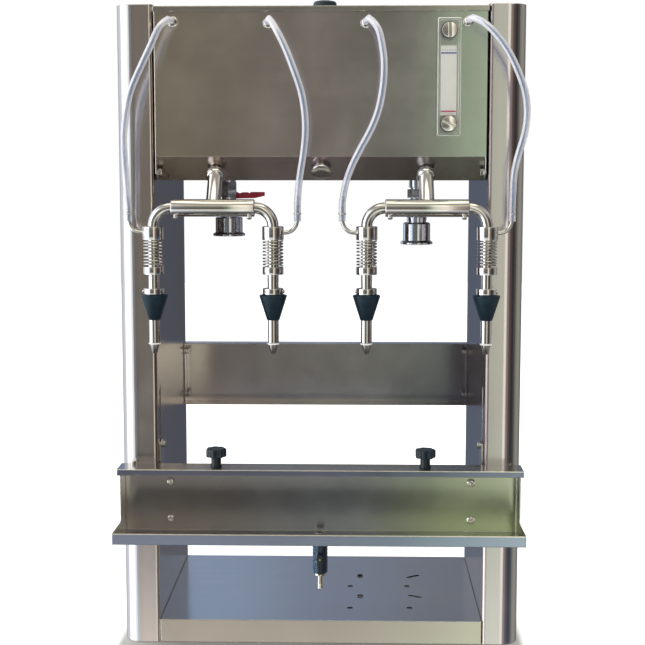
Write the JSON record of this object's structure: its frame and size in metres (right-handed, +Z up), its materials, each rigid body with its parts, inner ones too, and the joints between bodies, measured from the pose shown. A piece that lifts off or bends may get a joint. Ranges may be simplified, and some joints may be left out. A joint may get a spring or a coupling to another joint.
{
  "type": "four-spout gravity bottle filler",
  "caption": "Bench bottle filler: stainless tank between two folded columns, spring-loaded spouts with clear vent hoses, a height-adjustable drip tray and bottle guide.",
  "frame": {"origin": "middle of the footprint, on the ground", "axes": "+Z up, -Y towards the operator, +X to the operator's right"},
  "size_m": [0.573, 0.4501, 0.9356],
  "materials": {
    "steel": "fine brushed sheet",
    "polished": "turned and polished stainless",
    "spring_steel": "drawn wire",
    "rubber": "matt black moulding",
    "hose": "clear soft tube",
    "clear": "clear moulding",
    "scale": "white plate",
    "black": "satin black moulding",
    "red": "red dipped handle",
    "float": "white hollow float"
  },
  "bodies": {
    "frame": {"column_left": "steel", "column_right": "steel", "base_pan": "steel", "back_bar": "steel", "tank": "steel", "tank_plug": "polished", "gauge_body": "clear", "gauge_scale": "scale", "manifold_left": "polished", "manifold_right": "polished", "outlet_valve": "steel", "inlet_fitting": "steel", "float_valve": "steel", "panel_barb_1": "polished", "elbow_1": "polished", "spout_head_1": "polished", "spout_core_1": "polished", "spout_spring_1": "spring_steel", "vent_hose_1": "hose", "panel_barb_2": "polished", "elbow_2": "polished", "spout_head_2": "polished", "spout_core_2": "polished", "spout_spring_2": "spring_steel", "vent_hose_2": "hose", "panel_barb_3": "polished", "elbow_3": "polished", "spout_head_3": "polished", "spout_core_3": "polished", "spout_spring_3": "spring_steel", "vent_hose_3": "hose", "panel_barb_4": "polished", "elbow_4": "polished", "spout_head_4": "polished", "spout_core_4": "polished", "spout_spring_4": "spring_steel", "vent_hose_4": "hose"},
    "spout_1": {"spout_sleeve_1": "polished", "bottle_cone_1": "rubber"},
    "spout_2": {"spout_sleeve_2": "polished", "bottle_cone_2": "rubber"},
    "spout_3": {"spout_sleeve_3": "polished", "bottle_cone_3": "rubber"},
    "spout_4": {"spout_sleeve_4": "polished", "bottle_cone_4": "rubber"},
    "lid": {"tank_lid": "steel", "lid_knob": "black"},
    "float": {"float_arm": "float"},
    "outlet_handle": {"outlet_lever": "red"},
    "shelf": {"bottle_shelf": "steel", "shelf_bracket_left": "steel", "shelf_bracket_right": "steel", "drain_valve": "black"},
    "guide": {"bottle_guide": "steel"},
    "knob_left": {"guide_knob_left": "black"},
    "knob_right": {"guide_knob_right": "black"},
    "drain_handle": {"drain_lever": "black"}
  },
  "joints": [
    {"name": "spout_1_lift", "type": "slide", "parent": "frame", "child": "spout_1", "axis": [0, 0, 1], "range_m": [0, 0.014], "stiffness_N_per_m": 400, "springref_m": -0.01, "deforming": ["spout_spring_1"]},
    {"name": "spout_2_lift", "type": "slide", "parent": "frame", "child": "spout_2", "axis": [0, 0, 1], "range_m": [0, 0.014], "stiffness_N_per_m": 400, "springref_m": -0.01, "deforming": ["spout_spring_2"]},
    {"name": "spout_3_lift", "type": "slide", "parent": "frame", "child": "spout_3", "axis": [0, 0, 1], "range_m": [0, 0.014], "stiffness_N_per_m": 400, "springref_m": -0.01, "deforming": ["spout_spring_3"]},
    {"name": "spout_4_lift", "type": "slide", "parent": "frame", "child": "spout_4", "axis": [0, 0, 1], "range_m": [0, 0.014], "stiffness_N_per_m": 400, "springref_m": -0.01, "deforming": ["spout_spring_4"]},
    {"name": "lid_lift", "type": "slide", "parent": "frame", "child": "lid", "axis": [0, 0, 1], "range_m": [0, 0.15]},
    {"name": "float_swing", "type": "hinge", "parent": "frame", "child": "float", "pos_m": [0.1205, 0.019, 0.848], "axis": [0, 1, 0], "range_deg": [0, 30]},
    {"name": "outlet_turn", "type": "hinge", "parent": "frame", "child": "outlet_handle", "pos_m": [-0.1405, 0.0465, 0.647], "axis": [0, 1, 0], "range_deg": [0, 90]},
    {"name": "shelf_height", "type": "slide", "parent": "frame", "child": "shelf", "axis": [0, 0, 1], "range_m": [-0.05, 0.07]},
    {"name": "guide_reach", "type": "slide", "parent": "shelf", "child": "guide", "axis": [0, -1, 0], "range_m": [0, 0.02]},
    {"name": "knob_left_turn", "type": "hinge", "parent": "guide", "child": "knob_left", "pos_m": [-0.1483, -0.131, 0.2662], "axis": [0, 0, 1], "continuous": true},
    {"name": "knob_right_turn", "type": "hinge", "parent": "guide", "child": "knob_right", "pos_m": [0.1483, -0.131, 0.2662], "axis": [0, 0, 1], "continuous": true},
    {"name": "drain_turn", "type": "hinge", "parent": "shelf", "child": "drain_handle", "pos_m": [0, -0.1402, 0.131], "axis": [0, 1, 0], "range_deg": [0, 90]}
  ]
}
